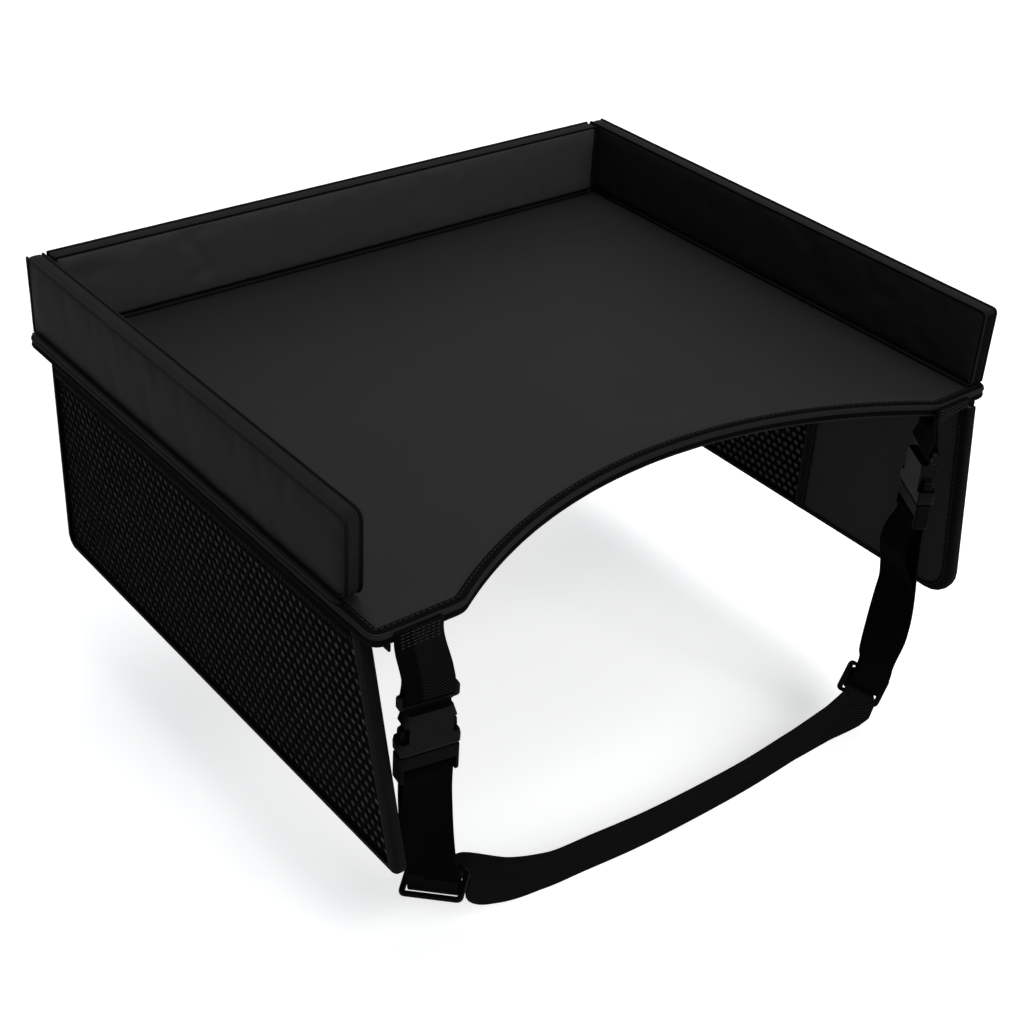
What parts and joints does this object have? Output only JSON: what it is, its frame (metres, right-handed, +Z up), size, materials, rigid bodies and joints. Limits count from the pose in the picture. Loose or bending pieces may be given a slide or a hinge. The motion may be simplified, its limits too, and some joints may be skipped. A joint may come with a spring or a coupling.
{
  "type": "car seat tray table",
  "caption": "Padded travel tray table with a cut-out for the child, folding walls, hanging side flaps with net pockets, and a waist belt on side-release buckles.",
  "frame": {"origin": "middle of the table's underside, halfway between its sides and between its front and back edges", "axes": "+Z up, out of the table's top; -Y towards the child, where the cut-out is; +X along the table's width, to the right of someone who looks from the child's side to the back wall"},
  "size_m": [0.402, 0.3447, 0.2666],
  "materials": {
    "coated_fabric": "matte",
    "woven_cloth": "matte",
    "ribbed_tape": "matte",
    "pocket_net": "matte",
    "webbing": "matte",
    "hook_and_loop": "matte",
    "foam": "matte",
    "moulded_plastic": "satin",
    "board_plastic": "matte"
  },
  "bodies": {
    "tray": {"table_board": "board_plastic", "table_foam_pad": "foam", "table_top_cover": "coated_fabric", "table_base_cover": "coated_fabric", "table_edge_binding": "ribbed_tape", "wall_left_hinge_piping": "ribbed_tape", "wall_right_hinge_piping": "ribbed_tape", "wall_back_hinge_piping": "ribbed_tape", "flap_left_hinge_tape": "ribbed_tape", "flap_right_hinge_tape": "ribbed_tape", "strap_tab_left": "webbing", "strap_tab_right": "webbing", "buckle_socket_left": "moulded_plastic", "buckle_socket_right": "moulded_plastic"},
    "wall_left": {"wall_left_board": "board_plastic", "wall_left_inner_panel": "coated_fabric", "wall_left_outer_panel": "coated_fabric", "wall_left_binding": "ribbed_tape", "corner_loop_left": "hook_and_loop"},
    "wall_right": {"wall_right_board": "board_plastic", "wall_right_inner_panel": "coated_fabric", "wall_right_outer_panel": "coated_fabric", "wall_right_binding": "ribbed_tape", "corner_loop_right": "hook_and_loop"},
    "wall_back": {"wall_back_board": "board_plastic", "wall_back_inner_panel": "coated_fabric", "wall_back_outer_panel": "coated_fabric", "wall_back_binding": "ribbed_tape", "corner_hook_left": "hook_and_loop", "corner_hook_right": "hook_and_loop"},
    "flap_left": {"flap_left_panel": "woven_cloth", "flap_left_pocket_net": "pocket_net", "flap_left_pocket_hem": "ribbed_tape", "flap_left_inner_mesh": "pocket_net", "flap_left_inner_panel": "woven_cloth", "flap_left_seam_tape": "ribbed_tape", "flap_left_binding": "ribbed_tape"},
    "flap_right": {"flap_right_panel": "woven_cloth", "flap_right_pocket_net": "pocket_net", "flap_right_pocket_hem": "ribbed_tape", "flap_right_inner_mesh": "pocket_net", "flap_right_inner_panel": "woven_cloth", "flap_right_seam_tape": "ribbed_tape", "flap_right_binding": "ribbed_tape"},
    "strap": {"buckle_plug_left": "moulded_plastic", "buckle_plug_right": "moulded_plastic", "slider_left": "moulded_plastic", "slider_right": "moulded_plastic", "belt_run": "webbing", "belt_return_left": "webbing", "belt_return_right": "webbing"},
    "arm_left_a": {"buckle_arm_left_a": "moulded_plastic"},
    "arm_left_b": {"buckle_arm_left_b": "moulded_plastic"},
    "arm_right_a": {"buckle_arm_right_a": "moulded_plastic"},
    "arm_right_b": {"buckle_arm_right_b": "moulded_plastic"}
  },
  "joints": [
    {"name": "wall_left_fold", "type": "hinge", "parent": "tray", "child": "wall_left", "pos_m": [-0.1999, 0, 0.0087], "axis": [0, -1, 0], "range_deg": [0, 90]},
    {"name": "wall_right_fold", "type": "hinge", "parent": "tray", "child": "wall_right", "pos_m": [0.1999, 0, 0.0087], "axis": [0, 1, 0], "range_deg": [0, 90]},
    {"name": "wall_back_fold", "type": "hinge", "parent": "tray", "child": "wall_back", "pos_m": [0, 0.1629, 0.0087], "axis": [-1, 0, 0], "range_deg": [0, 90]},
    {"name": "flap_left_swing", "type": "hinge", "parent": "tray", "child": "flap_left", "pos_m": [-0.192, 0, -0.0034], "axis": [0, 1, 0], "range_deg": [0, 90]},
    {"name": "flap_right_swing", "type": "hinge", "parent": "tray", "child": "flap_right", "pos_m": [0.192, 0, -0.0034], "axis": [0, -1, 0], "range_deg": [0, 90]},
    {"name": "strap_unclip", "type": "slide", "parent": "tray", "child": "strap", "axis": [0, 0, -1], "range_m": [0, 0.03], "deforming": ["buckle_arm_left_a", "buckle_arm_left_b", "buckle_arm_right_a", "buckle_arm_right_b"]},
    {"name": "arm_left_a_squeeze", "type": "hinge", "parent": "strap", "child": "arm_left_a", "pos_m": [-0.18207, -0.16506, -0.06225], "axis": [0.1736, 0.9848, 0], "range_deg": [0, 12], "stiffness_Nm_per_rad": 0.15},
    {"name": "arm_left_b_squeeze", "type": "hinge", "parent": "strap", "child": "arm_left_b", "pos_m": [-0.16453, -0.16814, -0.06225], "axis": [-0.1736, -0.9848, 0], "range_deg": [0, 12], "stiffness_Nm_per_rad": 0.15},
    {"name": "arm_right_a_squeeze", "type": "hinge", "parent": "strap", "child": "arm_right_a", "pos_m": [0.15655, -0.16781, -0.04825], "axis": [-0.866, 0.5, 0], "range_deg": [0, 12], "stiffness_Nm_per_rad": 0.15},
    {"name": "arm_right_b_squeeze", "type": "hinge", "parent": "strap", "child": "arm_right_b", "pos_m": [0.16545, -0.15239, -0.04825], "axis": [0.866, -0.5, 0], "range_deg": [0, 12], "stiffness_Nm_per_rad": 0.15}
  ],
  "couplings": [
    {"joint": "arm_left_b_squeeze", "follows": "arm_left_a_squeeze", "ratio": 1},
    {"joint": "arm_right_b_squeeze", "follows": "arm_right_a_squeeze", "ratio": 1}
  ]
}
